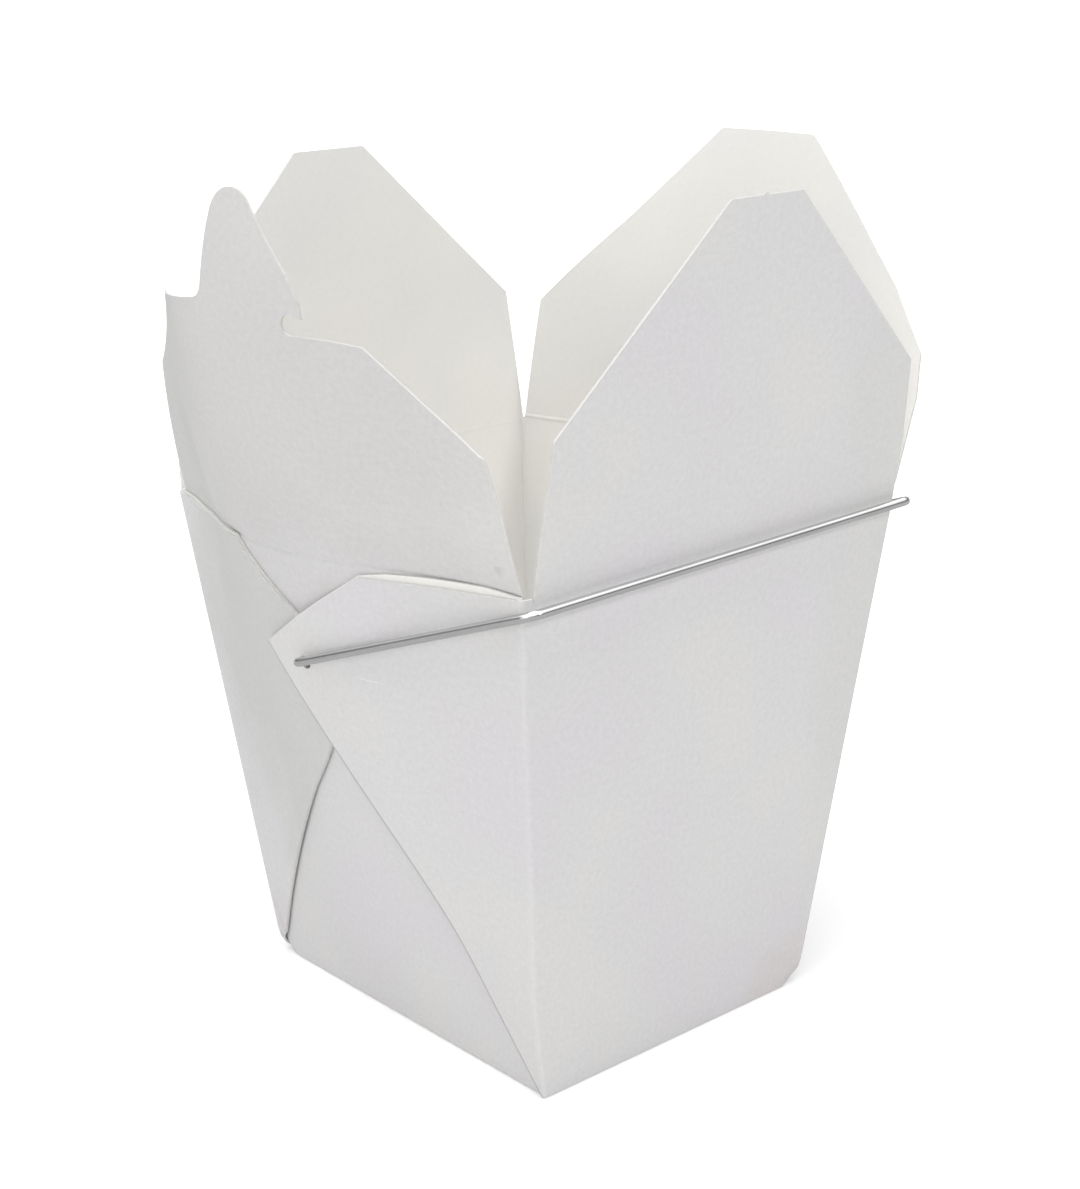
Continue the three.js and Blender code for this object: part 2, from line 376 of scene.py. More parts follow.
def punchHole(bm, x, y, radius, sides=14):
    centre = Vector((x, y, 0))
    for k in range(sides):
        angle = 2 * math.pi * k / sides
        out = Vector((math.cos(angle), math.sin(angle), 0))
        cutAt(bm, centre + out * radius, out, near=(centre, 3 * radius + board["grid"]))
    inside = [f for f in bm.faces if (f.calc_center_median() - centre).length < radius * 0.99]
    bmesh.ops.delete(bm, geom=inside, context="FACES")


def spread(low, high, step):
    count = max(round((high - low) / step), 1)
    return [lerp(low, high, k / count) for k in range(count + 1)]


def footRows():
    return [box["footRadius"] * (1 - math.cos(math.radians(angle))) for angle in (25, 50, 70, 90)]


# Keeps the flat layout as a map, in metres, and bends the sheet. A second map holds how far
# each point is from a fold line with painted shade beside it, or 1 on a sheet that has none.
def foldUp(bm, place, spot, fromFold=None):
    flatMap = bm.loops.layers.uv.new("flat")
    foldMap = bm.loops.layers.uv.new("fold")
    for face in bm.faces:
        for loop in face.loops:
            at = loop.vert.co
            loop[flatMap].uv = (spot + at.x * mm, at.y * mm)
            loop[foldMap].uv = (fromFold(at.x, at.y) * mm if fromFold else 1, 0)
    for vert in bm.verts:
        vert.co = place(vert.co.x, vert.co.y)


def applyModifiers(piece):
    depsgraph = bpy.context.evaluated_depsgraph_get()
    made = bpy.data.meshes.new_from_object(piece.evaluated_get(depsgraph))
    piece.modifiers.clear()
    piece.data = made


def shadeByAngle(piece, limit=board["smoothAngle"]):
    bm = bmesh.new()
    bm.from_mesh(piece.data)
    for face in bm.faces:
        face.smooth = True
    for edge in bm.edges:
        edge.smooth = len(edge.link_faces) == 2 and edge.calc_face_angle(math.pi) < math.radians(limit)
    bm.to_mesh(piece.data)
    bm.free()


def boardPiece(name, bm, finishes):
    mesh = bpy.data.meshes.new(name)
    bm.to_mesh(mesh)
    bm.free()
    mesh.transform(Matrix.Scale(mm, 4))
    for finish in finishes:
        mesh.materials.append(finish)
    piece = bpy.data.objects.new(name, mesh)
    bpy.context.scene.collection.objects.link(piece)
    wall = piece.modifiers.new("wall", "SOLIDIFY")
    wall.thickness = board["thickness"] * mm
    wall.offset = -1
    wall.material_offset = 1
    wall.material_offset_rim = 2
    edges = piece.modifiers.new("edges", "BEVEL")
    edges.width = board["edgeRound"] * mm
    edges.segments = 1
    edges.limit_method = "ANGLE"
    edges.angle_limit = math.radians(board["edgeAngle"])
    applyModifiers(piece)
    for vert in piece.data.vertices:  # the table presses the folded corners flat
        vert.co.z = max(vert.co.z, 0)
    shadeByAngle(piece)
    return piece


# Finishes. The board's grain: the scales of its noise to the metre, and how strongly they show.
grainLook = {
    "fibreScale": 2600,
    "speckScale": 900,
    "patchScale": 22,
    "patchRange": (0.36, 0.64),
    "mottle": 0.03,
    "bump": 0.25,
    "bumpDepth": 0.02,
    "gloss": 0.35,
}
markAndShadeLook = {"core": 0.35, "waves": 2.5, "wander": 2.5}


def addNode(tree, kind, inputs=None, **settings):
    node = tree.nodes.new(kind)
    for key, value in settings.items():
        setattr(node, key, value)
    for key, value in (inputs or {}).items():
        if isinstance(value, bpy.types.NodeSocket):
            tree.links.new(value, node.inputs[key])
        else:
            node.inputs[key].default_value = value
    return node


def maths(tree, operation, a, b=0.0):
    return addNode(tree, "ShaderNodeMath", {0: a, 1: b}, operation=operation).outputs[0]


def noiseNode(tree, place, scale, detail):
    inputs = {0: place, "Scale": scale, "Detail": detail}
    return addNode(tree, "ShaderNodeTexNoise", inputs).outputs["Fac"]


def newGroup(name, inputs, outputs):
    tree = bpy.data.node_groups.new(name, "ShaderNodeTree")
    for socket, kind, value in inputs:
        made = tree.interface.new_socket(socket, in_out="INPUT", socket_type="NodeSocket" + kind)
        if value is not None:
            made.default_value = value
    for socket, kind in outputs:
        tree.interface.new_socket(socket, in_out="OUTPUT", socket_type="NodeSocket" + kind)
    return tree, tree.nodes.new("NodeGroupInput"), tree.nodes.new("NodeGroupOutput")


def makePaperGrain():  # fine fibres, and slow cloudy patches
    tree, given, out = newGroup(
        "paperGrain",
        [("Vector", "Vector", None), ("Fibre", "Float", 1), ("Mottle", "Float", 1)],
        [("Shade", "Float"), ("Height", "Float"), ("Patches", "Float")],
    )
    place = given.outputs["Vector"]
    fibre = noiseNode(tree, place, grainLook["fibreScale"], 3)
    speck = noiseNode(tree, place, grainLook["speckScale"], 2)
    patch = noiseNode(tree, place, grainLook["patchScale"], 2)
    low, high = grainLook["patchRange"]
    cloud = addNode(
        tree, "ShaderNodeMapRange", {"Value": patch, "From Min": low, "From Max": high},
        interpolation_type="SMOOTHSTEP",
    ).outputs[0]
    both = maths(tree, "ADD", fibre, speck)
    fine = maths(tree, "MULTIPLY", maths(tree, "SUBTRACT", both, 1.0), given.outputs["Fibre"])
    slow = maths(tree, "MULTIPLY", maths(tree, "SUBTRACT", cloud, 0.5), given.outputs["Mottle"])
    shade = maths(tree, "ADD", maths(tree, "ADD", fine, slow), 1.0)
    tree.links.new(shade, out.inputs["Shade"])
    tree.links.new(both, out.inputs["Height"])
    tree.links.new(cloud, out.inputs["Patches"])
    return tree


def makeMarkAndShade():  # an uneven oval patch at one place of the flat layout, for marks and for painted shade
    tree, given, out = newGroup(
        "markAndShade",
        [("Vector", "Vector", None), ("Place", "Vector", None), ("Turn", "Vector", None),
         ("Size", "Vector", None), ("Ragged", "Float", 0.5), ("Strength", "Float", 1)],
        [("Mask", "Float")],
    )
    local = addNode(tree, "ShaderNodeMapping", vector_type="TEXTURE")
    places = {"Vector": "Vector", "Location": "Place", "Rotation": "Turn", "Scale": "Size"}
    for socket, source in places.items():
        tree.links.new(given.outputs[source], local.inputs[socket])
    at = local.outputs[0]
    away = addNode(tree, "ShaderNodeVectorMath", {0: at}, operation="LENGTH").outputs["Value"]
    rough = noiseNode(tree, at, markAndShadeLook["waves"], 3)
    wander = maths(tree, "MULTIPLY", maths(tree, "SUBTRACT", rough, 0.5), given.outputs["Ragged"])
    edge = maths(tree, "ADD", away, maths(tree, "MULTIPLY", wander, markAndShadeLook["wander"]))
    fade = addNode(
        tree, "ShaderNodeMapRange",
        {"Value": edge, "From Min": markAndShadeLook["core"], "From Max": 1.0, "To Min": 1.0, "To Max": 0.0},
        interpolation_type="SMOOTHSTEP",
    ).outputs[0]
    tree.links.new(maths(tree, "MULTIPLY", fade, given.outputs["Strength"]), out.inputs["Mask"])
    return tree


looks = {
    "outside": {
        "colour": (0.662, 0.649, 0.663),
        "patch": (0.657, 0.652, 0.643),
        "roughness": 0.5,
        "fibre": 0.15,
    },
    "inside": {
        "colour": (0.825, 0.82, 0.803),
        "patch": (0.835, 0.822, 0.786),
        "roughness": 0.45,
        "fibre": 0.06,
    },
    "edge": {
        "colour": (0.68, 0.675, 0.66),
        "patch": (0.64, 0.635, 0.62),
        "roughness": 0.75,
        "fibre": 0.15,
    },
}
foldShadeLine = {"at": 0.5, "core": 0.1, "reach": 0.34, "shade": 0.66}  # painted shade: a dark line beside a slanting fold, where its edge shades the board under it
# Marks and patches of painted shade on the white side, in this order, the later over the earlier: their
# sheet, where on it (across, up), their half sizes, their turn, their colour and how much of it shows.
marksAndShades = [
    ("left", (49.2, 106.8), (1.3, 1.1), 0, (0.45, 0.44, 0.47), 0.55),  # a grey smudge
    ("left", (11.0, 97.6), (2.6, 4.5), -35, (0.6, 0.59, 0.56), 0.35),  # painted shade in the recess above the corner folds, under the leaning lid flap
    ("left", (8, 148), (90, 66), 0, (0.6, 0.59, 0.585), 0.9),  # slow changes of tone
    # painted shade: the back part of the -X end and its tongue flap darker, where they turn away from the
    # light
    ("left", (-46, 122), (38, 60), 0, (0.565, 0.57, 0.556), 0.8),
    # painted shade: the back sheet darker towards the -X end, over its corner fold that faces away from the
    # light
    ("back", (80, 84), (46, 80), 0, (0.57, 0.574, 0.56), 0.9),
    ("front", (-79.2, 80.4), (4.4, 0.12), -2, (0.9, 0.9, 0.9), 0.5),  # a scratch under the wire's end
    ("front", (36, 5), (16, 9), 10, (0.64, 0.595, 0.59), 0.6),  # a pink tint along the foot
    ("front", (50, 75), (26, 95), 8, (0.635, 0.635, 0.62), 0.8),
    ("back", (49, 9), (1.5, 5), 15, (0.64, 0.57, 0.56), 0.6),
]


def paintMark(tree, flat, colour, mark):
    sheet, (across, up), (halfWidth, halfHeight), turn, tint, share = mark
    markAndShade = addNode(tree, "ShaderNodeGroup", node_tree=markAndShadeGroup)
    tree.links.new(flat, markAndShade.inputs["Vector"])
    markAndShade.inputs["Place"].default_value = (layout[sheet] + across * mm, up * mm, 0)
    markAndShade.inputs["Turn"].default_value = (0, 0, math.radians(turn))
    markAndShade.inputs["Size"].default_value = (halfWidth * mm, halfHeight * mm, 1)
    markAndShade.inputs["Strength"].default_value = share
    over = addNode(tree, "ShaderNodeMix", {"Factor": markAndShade.outputs["Mask"]}, data_type="RGBA")
    tree.links.new(colour, over.inputs["A"])
    over.inputs["B"].default_value = (*tint, 1)
    return over.outputs["Result"]


def paperFinish(name, look, markedAndShaded):
    material = bpy.data.materials.new(name)
    material.use_nodes = True
    tree = material.node_tree
    shader = tree.nodes["Principled BSDF"]
    shader.inputs["Specular IOR Level"].default_value = grainLook["gloss"]
    flat = addNode(tree, "ShaderNodeUVMap", uv_map="flat").outputs[0]
    grain = addNode(tree, "ShaderNodeGroup", node_tree=paperGrain)
    tree.links.new(flat, grain.inputs["Vector"])
    grain.inputs["Fibre"].default_value = look["fibre"]
    grain.inputs["Mottle"].default_value = grainLook["mottle"]
    tint = addNode(tree, "ShaderNodeMix", {"Factor": grain.outputs["Patches"]}, data_type="RGBA")
    tint.inputs["A"].default_value = (*look["colour"], 1)
    tint.inputs["B"].default_value = (*look["patch"], 1)
    colour = tint.outputs["Result"]
    for mark in marksAndShades if markedAndShaded else []:
        colour = paintMark(tree, flat, colour, mark)
    shade = grain.outputs["Shade"]
    if markedAndShaded:  # painted shade along the slanting folds of the front sheet
        fold = addNode(tree, "ShaderNodeUVMap", uv_map="fold").outputs[0]
        fromFold = addNode(tree, "ShaderNodeSeparateXYZ", {0: fold}).outputs["X"]
        off = maths(tree, "ABSOLUTE", maths(tree, "ADD", fromFold, foldShadeLine["at"] * mm))
        foldShade = addNode(
            tree, "ShaderNodeMapRange",
            {
                "Value": off,
                "From Min": foldShadeLine["core"] * mm,
                "From Max": foldShadeLine["reach"] * mm,
                "To Min": foldShadeLine["shade"],
                "To Max": 1.0,
            },
            interpolation_type="SMOOTHSTEP",
        ).outputs[0]
        shade = maths(tree, "MULTIPLY", shade, foldShade)
    shaded = addNode(tree, "ShaderNodeVectorMath", {0: colour}, operation="SCALE")
    tree.links.new(shade, shaded.inputs["Scale"])
    tree.links.new(shaded.outputs[0], shader.inputs["Base Color"])
    shader.inputs["Roughness"].default_value = look["roughness"]
    depth = grainLook["bumpDepth"] * mm
    bump = addNode(tree, "ShaderNodeBump", {"Strength": grainLook["bump"], "Distance": depth})
    tree.links.new(grain.outputs["Height"], bump.inputs["Height"])
    tree.links.new(bump.outputs[0], shader.inputs["Normal"])
    return material


paperGrain = makePaperGrain()
markAndShadeGroup = makeMarkAndShade()
paper = [paperFinish("board" + key.title(), look, key == "outside") for key, look in looks.items()]
print("finishes made")


# The carton: front and back sheets, two end sheets and the base.
plainFlap = {
    "top": (8.6, 63.4),
    "round": 0.9,
    "squareBy": 28,
    "nub": [(0.4, 0), (0.1, 0.45), (-0.9, 0.4), (-1.1, 0)],
    "bendBand": 2.6,  # the rows are close up to this height above the crease
    "span": 48,
}
plainFlapEdges = {  # half width at the crease, then points up the edge, on the right and on the left
    -1: {
        1: {"crease": 44.9, "edge": [(45.3, 12), (44.1, 28.5)], "ear": 101.1},
        -1: {"crease": 42.9, "edge": [(43, 27.6)], "ear": 101.8},
    },
    1: {
        1: {"crease": 44.8, "edge": [(44.1, 14.8), (43.3, 28.8)], "ear": 101.1},
        -1: {"crease": 44.8, "edge": [(44.1, 14.8), (43.3, 28.8)], "ear": 101.1},
    },
}
# The edges of the corner folds on the flat board, from the foot up to the tip. Rows are the
# heights of the points along an edge: from, up to but without, and step.
foldEdge = {
    "footTop": 4,
    "footIn": 0.2,
    "tuckLow": 9,  # the strip that is turned under has its full width from here
    "tuckRows": (16, 80, 8),
    "tuckEnd": 0.8,  # and it ends this far below the tip
    "tipOver": 0.1,
    "cornerIn": 0.6,
    "earOut": 0.15,
    "innerFoot": 5.5,  # the inner layer starts here
    "innerRows": (9, 80, 7),
    "innerEnd": 1.2,  # and its straight edge ends this far below the tip
    "innerSpan": 66,  # it is nowhere wider than this
    "cornerSteps": 3,
    "bendSteps": 6,
}


def reachAt(corner, y, z):  # how far past the corner a point of the end wall is
    return halfY(z) - corner * y


def plainOutline(side):
    fold = folds[side]
    corner = box["rimHalfX"]
    tipY, tipZ = fold["tip"]
    tipReach = reachAt(side, tipY, tipZ)
    tuck = foldLayers["tuck"]
    foot, low = foldEdge["footTop"], foldEdge["tuckLow"]
    halves = []
    for hand in (1, -1):
        flap = plainFlapEdges[side][hand]
        half = [
            (corner + foldLayers["footWidth"], 0),
            (corner + straightReach(side, foot) - foldEdge["footIn"], foot),
        ]
        half += [(corner + straightReach(side, z) + tuck, z) for z in (low, *range(*foldEdge["tuckRows"]))]
        half += [
            (corner + tipReach + tuck, tipZ - foldEdge["tuckEnd"]),
            (corner + tipReach, tipZ + foldEdge["tipOver"]),
        ]
        half += [(corner + reachAt(side, y, z), z) for y, z in fold["outer"]]
        half += [
            (corner + foldEdge["cornerIn"], fold["corner"]),
            (flap["crease"] + foldEdge["earOut"], flap["ear"]),
            (flap["crease"], box["plainTop"]),
        ]
        halves.append(half)
    return halves[0] + [(-a, z) for a, z in reversed(halves[1])]


def plainSheet(side):
    corner = box["rimHalfX"]
    turn = box["cornerRadius"]
    tipZ = folds[side]["tip"][1]
    tip = straightReach(side, tipZ)
    radius = board["thickness"] + board["slack"]
    far = corner + tip + foldLayers["tuck"]
    columns = spread(-far, far, board["grid"])
    steps = foldEdge["cornerSteps"]
    columns += [sign * (corner + turn * k / steps) for sign in (-1, 1) for k in range(-steps, steps + 1)]
    rows = footRows() + spread(box["footRadius"], box["plainTop"], board["grid"])[1:]
    steps = foldEdge["bendSteps"]
    slants = []
    for sign in (-1, 1):
        direction = (sign * (tip - foldLayers["footWidth"]), tipZ)
        for k in range(-1, steps + 1):
            start = corner + foldLayers["footWidth"] - radius + radius * math.pi * k / steps
            slants.append(((sign * start, 0), direction))
    bm = flatSheet(plainOutline(side), columns, rows, slants)
    holeZ = bailHole["z"] - bailHole["drop"]
    holeAt = turn + (reachAt(side, bailHole["y"], holeZ) - turn) / swayed(side, holeZ)
    for sign in (-1, 1):
        punchHole(bm, sign * (corner + holeAt), holeZ, bailHole["radius"])
    square = tipZ / math.hypot(tipZ, tip - foldLayers["footWidth"])

    def fromFold(a, z):
        return (abs(a) - corner - straightReach(side, z)) * square

    # only the front sheet gets the painted shade line beside its folds
    shadedFold = fromFold if side < 0 else None
    foldUp(bm, lambda a, z: outOfSquare(placeOnPlain(side, a, z)), plainSpot[side], shadedFold)
    return bm


def endOutline(side):
    corner = endCorner(box["height"])
    start = corner + foldLayers["cornerTurn"]
    halves = []
    for where in (side, -side):

        def reach(y, z):
            return start + endCorner(z) - where * y

        tipY, tipZ = folds[where]["tip"]
        setback = foldLayers["innerSetback"]
        half = [(corner, 0), (corner, foldEdge["innerFoot"])]
        for z in range(*foldEdge["innerRows"]):
            half.append((start + endCorner(z) - halfY(z) + foldReach(where, z) - setback, z))
        half.append((reach(tipY, tipZ) - setback, tipZ - foldEdge["innerEnd"]))
        half += [(reach(y, z), z) for y, z in folds[where]["inner"]]
        half += [(start, folds[where]["innerCorner"]), (corner, box["endTop"])]
        halves.append(half)
    return halves[0] + [(-b, z) for b, z in reversed(halves[1])]


def endSheet(side):
    corner = endCorner(box["height"])
    start = corner + foldLayers["cornerTurn"]
    far = corner + foldEdge["innerSpan"]
    columns = spread(-far, far, board["grid"])
    steps = foldEdge["bendSteps"]
    columns += [sign * lerp(corner, start, k / steps) for sign in (-1, 1) for k in range(steps + 1)]
    rows = footRows() + spread(box["footRadius"], box["endTop"], board["grid"])[1:]
    bm = flatSheet(endOutline(side), columns, rows)
    z = bailHole["z"] - bailHole["drop"]
    punchHole(bm, side * bailHole["y"] * corner / endCorner(z), z, bailHole["radius"])
    for where in (-1, 1):
        across = start + endCorner(z) - where * bailHole["y"]
        punchHole(bm, where * side * across, z, bailHole["radius"])
    foldUp(bm, lambda b, up: outOfSquare(placeOnEnd(side, b, up)), endSpot[side])
    return bm


def baseSheet():
    x = box["baseHalfX"] - box["footRecess"] - box["footRadius"]
    y = box["baseHalfY"] - box["footRadius"]
    grid = board["baseGrid"]
    bm = flatSheet([(-x, -y), (-x, y), (x, y), (x, -y)], spread(-x, x, grid), spread(-y, y, grid))

    def crowned(across, along):
        rise = (1 - (across / x) ** 2) * (1 - (along / y) ** 2)
        return outOfSquare(Vector((across, along, box["crown"] * rise)))

    foldUp(bm, crowned, layout["base"])
    return bm


def joinSheets(sheets):
    whole = bmesh.new()
    for sheet in sheets:
        part = bpy.data.meshes.new("part")
        sheet.to_mesh(part)
        sheet.free()
        whole.from_mesh(part)
        bpy.data.meshes.remove(part)
    return whole


carton = boardPiece(
    "cartonBoard",
    joinSheets([plainSheet(-1), plainSheet(1), endSheet(-1), endSheet(1), baseSheet()]),
    paper,
)
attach(carton, "carton")
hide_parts("carton")
print("carton folded:", len(carton.data.polygons), "faces")

# The front and back lid flaps. An outline runs up the right side, as seen from outside.
flatFlaps = {
    -1: {
        "name": "frontFlapBoard",
        "node": "front_flap",
        "lean": 9.2,
        "creaseLine": (100.9, 103),
        "nub": plainFlap["nub"],
    },
    1: {
        "name": "backFlapBoard",
        "node": "back_flap",
        "lean": 6,
        "creaseLine": (101, 101),
        "nub": [],
    },
}


def score(v, crease, depth=board["score"]):
    return depth * math.exp(-((v - crease) / board["scoreWidth"]) ** 2)


def placeOnFlatFlap(side, a, v):
    crease = flapHinge["plain"]
    flap = flatFlaps[side]
    lean = math.radians(flap["lean"])
    wall = placeOnPlain(side, a, min(v, crease))
    wall.z = v
    face = board["thickness"] / 2
    up = v - crease
    out = halfY(crease) - face + up * math.sin(lean) + face * math.cos(lean)
    out += warp(a, v, box["rimHalfX"], board["plainSeed"] + side)
    squared = -side * a * halfX(crease) / box["rimHalfX"]
    x = lerp(squared, wall.x, 1 - smooth(up, 0, plainFlap["squareBy"]))
    leaning = Vector((x, side * out, crease + up * math.cos(lean)))
    place = wall.lerp(leaning, smooth(v, box["plainTop"], 2 * crease - box["plainTop"]))
    line = lerp(*flap["creaseLine"], (a / box["rimHalfX"] + 1) / 2)
    place.y -= side * score(v, line)
    return place


def flatFlapSheet(side):
    low = box["plainTop"]
    crease = flapHinge["plain"]
    soft = plainFlap["round"]
    top, topUp = plainFlap["top"]
    halves = []
    for hand in (1, -1):
        flap = plainFlapEdges[side][hand]
        half = [(flap["crease"], low)] + [(x, crease + up, soft) for x, up in flap["edge"]]
        halves.append(half + [(top, crease + topUp, soft)])
    outline = halves[0] + [(x, crease + topUp + up) for x, up in flatFlaps[side]["nub"]]
    outline += [(-x, *rest) for x, *rest in reversed(halves[1])]
    bent = crease + plainFlap["bendBand"]
    rows = spread(low, bent, board["creaseGrid"])[1:]
    rows += spread(bent, crease + topUp, board["grid"])[1:-1]
    columns = spread(-plainFlap["span"], plainFlap["span"], board["grid"])
    bm = flatSheet(roundedOutline(outline), columns, rows)
    foldUp(bm, lambda a, v: placeOnFlatFlap(side, a, v), plainSpot[side])
    return bm


# The end flaps are curved: the one at -X carries the tongue, the one at +X its slit.
curvedFlaps = {
    -1: {"name": "tongueFlapBoard", "node": "tongue_flap"},
    1: {"name": "slotFlapBoard", "node": "slot_flap"},
}
curvedBend = {
    "curlUp": 61.2,
    "leanFrom": 101.4,
    "leanTo": 102.6,
    "crease": 102.2,
    "score": 0.12,
    "squareBy": 22,  # height by which a pushed out corner no longer shows in the flap
    "unrollBy": 0.6,  # share of the half width by which the curl has changed
    "blend": 8,
    "creaseBand": 1.8,  # the rows are closest up to here, closer up to the next, and end at the last
    "bendBand": 12,
    "rowsTop": 75,
    "bendGrid": 0.85,
    "columnGrid": 1.8,
    "span": 56,
}
slotFlap = {
    "front": [(-53.2, 0), (-54, 3), (-53.8, 10), (-53.4, 19, 3), (-51.6, 27, 1.5), (-41.7, 38.4, 3)],
    "top": [(-12.4, 63.7, 1.2), (10.4, 63.7, 1.2)],
    "back": [(28.6, 45), (49.4, 25.8, 1.4), (52.2, 0)],
}
tongueFlap = {
    "right": [(52.9, 0), (53.2, 7), (52.8, 13), (52.1, 19.5), (51.3, 25.6, 0.3), (50.3, 26.1), (40.7, 34.9)],
    "shelf": [(31, 44.3, 1.2), (24.5, 45.2), (19, 45.4)],
    "notch": (18.1, 47.5),
    "notchRadius": 2.1,
    "notchTurn": (-78, -272),
    "barb": [(19.1, 49.0), (20.1, 48.4, 0.2), (19.6, 51.6, 1), (17.1, 56.6), (12.5, 63.1)],
    "tip": (3.7, 64.9),
    "tipRadius": 6,
    "tipTurn": (34, 170),
    "throat": [(-3, 62.8), (-4.1, 56.3), (-5.1, 49.8, 3.6)],
    "left": [(-12, 48.4, 4), (-33.8, 44.6, 0.9), (-51.4, 26.2, 1), (-52.4, 0)],
    "arcSteps": 12,
}
# The slit that takes the tongue, an arc that bows towards the flap's free edge.
slit = {"up": 42, "radius": 42, "halfAngle": 19.4, "width": 0.5, "across": -4.9, "cuts": 10}


def placeOnCurvedFlap(side, b, v):
    end = ends[side]
    hinge = flapHinge["curved"]
    y = side * b
    up = v - hinge
    turn = y / box["rimHalfY"]
    angle = math.radians(end["lean"] + end["twist"] * turn + end["leanEnds"] * turn * turn)
    curl = end["curl"] + end["unroll"] * smooth(turn, 0, curvedBend["unrollBy"])
    out = up * math.sin(angle) + curl * (up / curvedBend["curlUp"]) ** 2
    out -= cornerOut(side, v) * nearFront(turn) * smooth(up, 0, curvedBend["squareBy"])
    seed = board["endSeed"] + side
    waves = warp(y, v, box["rimHalfY"], seed) - warp(y, box["height"], box["rimHalfY"], seed)
    face = box["rimHalfX"] - box["endRecess"] + bulge(side, y, box["height"], box["rimHalfY"]) + waves
    leaning = Vector((side * (face + out), y, hinge + up * math.cos(angle)))
    corner = endCorner(box["height"])
    wall = placeOnEnd(side, max(min(b, corner), -corner), min(v, box["height"]))
    wall.z = v
    place = wall.lerp(leaning, smooth(v, curvedBend["leanFrom"], curvedBend["leanTo"]))
    place.x -= side * score(v, curvedBend["crease"], curvedBend["score"])
    return place


def cutSlit(bm):
    centre = Vector((slit["across"], flapHinge["curved"] + slit["up"] - slit["radius"], 0))
    half = math.radians(slit["halfAngle"])
    step = half / slit["cuts"]

    def outwards(angle):
        return Vector((math.sin(angle), math.cos(angle), 0))

    for k in range(-slit["cuts"], slit["cuts"] + 1):
        middle = centre + outwards(k * step) * slit["radius"]
        for edge in (-1, 1):
            out = outwards(k * step) * edge
            cutAt(bm, middle + out * slit["width"] / 2, out, near=(middle, 2 * board["grid"]))
    for sign in (-1, 1):
        end = centre + outwards(sign * half) * slit["radius"]
        tangent = Vector((math.cos(half), -sign * math.sin(half), 0))
        cutAt(bm, end, tangent, near=(end, 2 * board["grid"]))
    gone = []
    for face in bm.faces:
        away = face.calc_center_median() - centre
        inBand = abs(away.length - slit["radius"]) < slit["width"] * 0.48
        if inBand and abs(math.atan2(away.x, away.y)) < half:
            gone.append(face)
    bmesh.ops.delete(bm, geom=gone, context="FACES")


def curvedFlapSheet(side, outline):
    low = box["endTop"]
    creased, bent, top = (low + curvedBend[key] for key in ("creaseBand", "bendBand", "rowsTop"))
    rows = spread(low, creased, board["creaseGrid"])[1:] + spread(creased, bent, curvedBend["bendGrid"])[1:]
    rows += spread(bent, top, board["grid"])[1:]
    bm = flatSheet(outline, spread(-curvedBend["span"], curvedBend["span"], curvedBend["columnGrid"]), rows)
    if side > 0:
        cutSlit(bm)
    foldUp(bm, lambda b, v: placeOnCurvedFlap(side, b, v), endSpot[side])
    return bm


def raised(points):  # heights in the outlines are above the hinge, and 0 is the flap's edge
    made = []
    for x, up, *soft in points:
        made.append((x, flapHinge["curved"] + up if up else box["endTop"], *soft))
    return made


def tongueOutline():
    flap = tongueFlap
    steps = flap["arcSteps"]
    right = raised(flap["right"] + flap["shelf"])
    notch = arc(raised([flap["notch"]])[0], flap["notchRadius"], *flap["notchTurn"], steps)
    tip = arc(raised([flap["tip"]])[0], flap["tipRadius"], *flap["tipTurn"], steps)
    left = raised(flap["throat"] + flap["left"])
    return roundedOutline(right + notch + raised(flap["barb"]) + tip + left)


def slotOutline():
    return roundedOutline(raised((slotFlap["front"] + slotFlap["top"] + slotFlap["back"])[::-1]))


flaps = {}
for side, flap in flatFlaps.items():
    piece = boardPiece(flap["name"], flatFlapSheet(side), paper)
    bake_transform(piece)
    flaps[flap["node"]] = piece
for side, flap in curvedFlaps.items():
    outline = tongueOutline() if side < 0 else slotOutline()
    piece = boardPiece(flap["name"], curvedFlapSheet(side, outline), paper)
    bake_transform(piece)
    flaps[flap["node"]] = piece
for node, piece in flaps.items():
    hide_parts(node)
    print(node, "cut:", len(piece.data.polygons), "faces")

# The wire bail.
wire = {
    "radius": 0.85,
    "sides": 20,
    "bend": 2.6,
    "hookBend": 1.5,
    "bendSteps": 8,
    "runStep": 3,
    "spanHalf": 47,
    "spanY": -56.3,
    "spanZ": 100.75,
    "spanTilt": 0.85,  # the +X end is this much higher, the -X end lower
    "standoff": 2.3,
    "stack": 2.4,  # board between the end wall's white face and the arm's eye
    "wall": 0.5,  # the board that the hook goes through
    "hook": 3,
    "endRound": 0.25,
    "smoothAngle": 40,
    "faces": (0.5, 0.74),
    "roughness": (0.12, 0.24),
    "streaks": 1800,
    "streakDraw": 0.04,  # along the wire the pattern runs this much slower than round it
    "bump": 0.3,
    "bumpDepth": 0.01,
}


def wireFinish():
    material = bpy.data.materials.new("drawnSteel")
    material.use_nodes = True
    tree = material.node_tree
    shader = tree.nodes["Principled BSDF"]
    shader.inputs["Metallic"].default_value = 1
    drawn = addNode(tree, "ShaderNodeAttribute", attribute_name="drawn").outputs["Vector"]
    streak = noiseNode(tree, drawn, wire["streaks"], 4)

    def streaked(low, high):
        inputs = {"Value": streak, "To Min": low, "To Max": high}
        return addNode(tree, "ShaderNodeMapRange", inputs).outputs[0]

    tone = streaked(*wire["faces"])
    colour = addNode(tree, "ShaderNodeCombineColor", {"Red": tone, "Green": tone, "Blue": tone}).outputs[0]
    tree.links.new(colour, shader.inputs["Base Color"])
    tree.links.new(streaked(*wire["roughness"]), shader.inputs["Roughness"])
    depth = wire["bumpDepth"] * mm
    bump = addNode(tree, "ShaderNodeBump", {"Strength": wire["bump"], "Distance": depth, "Height": streak})
    tree.links.new(bump.outputs[0], shader.inputs["Normal"])
    return material


